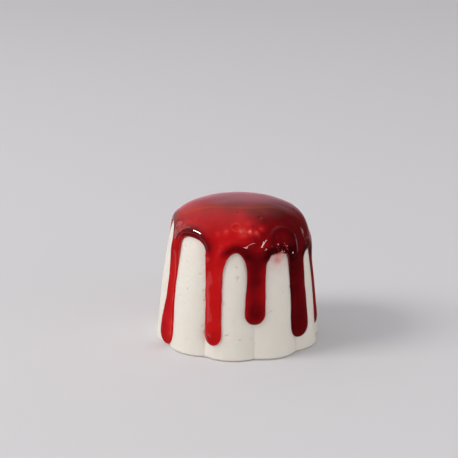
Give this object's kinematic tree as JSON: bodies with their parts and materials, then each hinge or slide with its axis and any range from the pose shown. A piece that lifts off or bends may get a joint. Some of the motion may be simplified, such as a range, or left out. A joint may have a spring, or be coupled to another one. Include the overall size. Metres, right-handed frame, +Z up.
{
  "type": "panna cotta",
  "caption": "Single-portion moulded cream dessert with a fluted side and a rounded top, capped in glossy red berry sauce that runs down its side in drips.",
  "frame": {"origin": "middle of the flat base, on the surface it stands on", "axes": "+Z up along the axis it was turned out of its mould on; -Y towards the side that the picture shows"},
  "size_m": [0.0682, 0.0688, 0.059],
  "materials": {
    "set_cream": "moist, off-white set cream with a soft sheen and fine pits",
    "red_berry_sauce": "wet, glossy, see-through dark red berry sauce"
  },
  "bodies": {
    "root": {"panna_cotta": "set_cream", "berry_sauce": "red_berry_sauce"}
  },
  "joints": []
}
